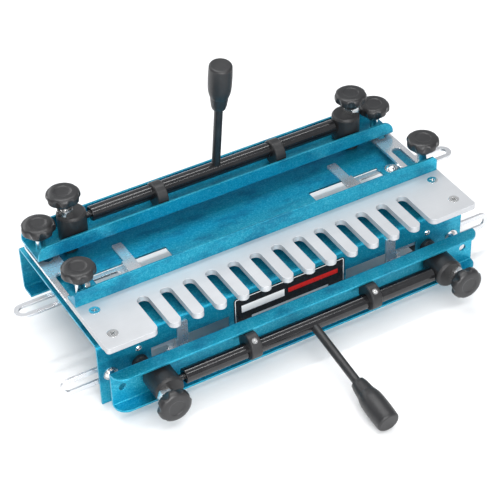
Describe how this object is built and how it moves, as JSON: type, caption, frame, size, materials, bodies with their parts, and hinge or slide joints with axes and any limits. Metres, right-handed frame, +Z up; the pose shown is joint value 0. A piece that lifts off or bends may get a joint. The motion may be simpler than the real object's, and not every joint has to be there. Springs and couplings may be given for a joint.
{
  "type": "dovetail jig",
  "caption": "Bench dovetail jig with a finger comb template, two lever-operated cam clamps, adjustable side stops and star knobs.",
  "frame": {"origin": "the bench's top front edge at the middle of the jig's length: the foot stands on z = 0 and the apron hangs in front of y = 0", "axes": "+X along the jig to the operator's right, +Y to the rear, +Z up"},
  "size_m": [0.4585, 0.3211, 0.2216],
  "materials": {
    "blue_hammered": "hammered",
    "aluminium": "brushed",
    "zinc": "bright zinc plate",
    "bright_steel": "bright",
    "black_gloss": "gloss",
    "black_matte": "matte",
    "black_knob": "satin",
    "label": "printed film"
  },
  "bodies": {
    "base": {"base_frame": "blue_hammered", "front_label": "label", "front_anchor_left": "black_matte", "front_anchor_right": "black_matte", "front_anchor_screws": "bright_steel", "thread_bushes": "zinc", "upper_stud_collars": "black_matte", "front_stud_collars": "black_matte", "top_stop_bolts": "bright_steel", "front_stop_bolts": "bright_steel"},
    "upper_posts": {"upper_post_left": "black_matte", "upper_post_right": "black_matte"},
    "upper_screw_left": {"upper_knob_left": "black_knob", "upper_lock_nut_left": "bright_steel", "upper_stud_left": "bright_steel"},
    "upper_screw_right": {"upper_knob_right": "black_knob", "upper_lock_nut_right": "bright_steel", "upper_stud_right": "bright_steel"},
    "upper_cams": {"upper_cam_shaft": "black_gloss", "upper_cam_left": "black_matte", "upper_cam_right": "black_matte", "upper_cam_set_screws": "bright_steel", "upper_lever_rod": "black_gloss", "upper_lever_grip": "black_matte"},
    "upper_bar": {"upper_clamp_bar": "blue_hammered", "carrier_spacers": "zinc"},
    "template": {"comb_template": "aluminium", "comb_screws": "bright_steel", "template_fence": "blue_hammered", "fence_rivets": "bright_steel", "template_arm_left": "zinc", "template_arm_right": "zinc"},
    "rear_screw_left": {"rear_knob_left": "black_knob", "rear_bolt_left": "bright_steel"},
    "rear_screw_right": {"rear_knob_right": "black_knob", "rear_bolt_right": "bright_steel"},
    "carrier_screw_left": {"carrier_knob_left": "black_knob", "carrier_stud_left": "bright_steel"},
    "carrier_screw_right": {"carrier_knob_right": "black_knob", "carrier_stud_right": "bright_steel"},
    "front_posts": {"front_post_left": "black_matte", "front_post_right": "black_matte"},
    "front_screw_left": {"front_knob_left": "black_knob", "front_lock_nut_left": "bright_steel", "front_stud_left": "bright_steel"},
    "front_screw_right": {"front_knob_right": "black_knob", "front_lock_nut_right": "bright_steel", "front_stud_right": "bright_steel"},
    "front_cams": {"front_cam_shaft": "black_gloss", "front_cam_left": "black_matte", "front_cam_right": "black_matte", "front_cam_set_screws": "bright_steel", "front_lever_rod": "black_gloss", "front_lever_grip": "black_matte"},
    "front_bar": {"front_clamp_bar": "blue_hammered"},
    "top_stop_left": {"top_stop_left": "zinc"},
    "top_stop_right": {"top_stop_right": "zinc"},
    "front_stop_left": {"front_stop_left": "zinc"},
    "front_stop_right": {"front_stop_right": "zinc"}
  },
  "joints": [
    {"name": "upper_height", "type": "slide", "parent": "base", "child": "upper_posts", "axis": [0, 0, 1], "range_m": [0, 0.012]},
    {"name": "upper_screw_left_turn", "type": "hinge", "parent": "upper_posts", "child": "upper_screw_left", "pos_m": [-0.15, 0.1308, 0.09], "axis": [0, 0, 1], "range_deg": [0, 3456]},
    {"name": "upper_screw_right_turn", "type": "hinge", "parent": "upper_posts", "child": "upper_screw_right", "pos_m": [0.15, 0.1308, 0.09], "axis": [0, 0, 1], "range_deg": [0, 3456]},
    {"name": "carrier_screw_left_turn", "type": "hinge", "parent": "upper_posts", "child": "carrier_screw_left", "pos_m": [-0.1766, 0.0475, 0.08], "axis": [0, 0, 1], "range_deg": [0, 4320]},
    {"name": "carrier_screw_right_turn", "type": "hinge", "parent": "upper_posts", "child": "carrier_screw_right", "pos_m": [0.1766, 0.0475, 0.08], "axis": [0, 0, 1], "range_deg": [0, 4320]},
    {"name": "upper_lever_turn", "type": "hinge", "parent": "upper_posts", "child": "upper_cams", "pos_m": [0, 0.1308, 0.07788], "axis": [1, 0, 0], "range_deg": [0, 45]},
    {"name": "upper_bar_press", "type": "slide", "parent": "upper_posts", "child": "upper_bar", "axis": [0, 0, 1], "range_m": [-0.00117, 0]},
    {"name": "template_set", "type": "slide", "parent": "upper_bar", "child": "template", "axis": [0, 1, 0], "range_m": [-0.009, 0.0005]},
    {"name": "rear_screw_left_turn", "type": "hinge", "parent": "upper_bar", "child": "rear_screw_left", "pos_m": [-0.1766, 0.1308, 0.075], "axis": [0, 0, 1], "range_deg": [0, 720]},
    {"name": "rear_screw_right_turn", "type": "hinge", "parent": "upper_bar", "child": "rear_screw_right", "pos_m": [0.1766, 0.1308, 0.075], "axis": [0, 0, 1], "range_deg": [0, 720]},
    {"name": "front_depth", "type": "slide", "parent": "base", "child": "front_posts", "axis": [0, -1, 0], "range_m": [-0.008, 0.01]},
    {"name": "front_screw_left_turn", "type": "hinge", "parent": "front_posts", "child": "front_screw_left", "pos_m": [-0.15, -0.05, 0.014], "axis": [0, -1, 0], "range_deg": [-2304, 2880]},
    {"name": "front_screw_right_turn", "type": "hinge", "parent": "front_posts", "child": "front_screw_right", "pos_m": [0.15, -0.05, 0.014], "axis": [0, -1, 0], "range_deg": [-2304, 2880]},
    {"name": "front_lever_turn", "type": "hinge", "parent": "front_posts", "child": "front_cams", "pos_m": [0, -0.03838, 0.014], "axis": [-1, 0, 0], "range_deg": [0, 80]},
    {"name": "front_bar_press", "type": "slide", "parent": "front_posts", "child": "front_bar", "axis": [0, 1, 0], "range_m": [0, 0.00104]},
    {"name": "top_stop_left_set", "type": "slide", "parent": "base", "child": "top_stop_left", "axis": [1, 0, 0], "range_m": [-0.028, 0.042]},
    {"name": "top_stop_right_set", "type": "slide", "parent": "base", "child": "top_stop_right", "axis": [1, 0, 0], "range_m": [-0.042, 0.028]},
    {"name": "front_stop_left_set", "type": "slide", "parent": "base", "child": "front_stop_left", "axis": [1, 0, 0], "range_m": [-0.02, 0.036]},
    {"name": "front_stop_right_set", "type": "slide", "parent": "base", "child": "front_stop_right", "axis": [1, 0, 0], "range_m": [-0.036, 0.02]}
  ],
  "couplings": [
    {"joint": "upper_screw_left_turn", "follows": "upper_height", "rad_per_m": 5026.5},
    {"joint": "upper_screw_right_turn", "follows": "upper_height", "rad_per_m": 5026.5},
    {"joint": "carrier_screw_left_turn", "follows": "upper_height", "rad_per_m": 6283.2},
    {"joint": "carrier_screw_right_turn", "follows": "upper_height", "rad_per_m": 6283.2},
    {"joint": "upper_lever_turn", "follows": "upper_bar_press", "rad_per_m": -671.14},
    {"joint": "front_screw_left_turn", "follows": "front_depth", "rad_per_m": 5026.5},
    {"joint": "front_screw_right_turn", "follows": "front_depth", "rad_per_m": 5026.5},
    {"joint": "front_lever_turn", "follows": "front_bar_press", "rad_per_m": 1342.3}
  ]
}
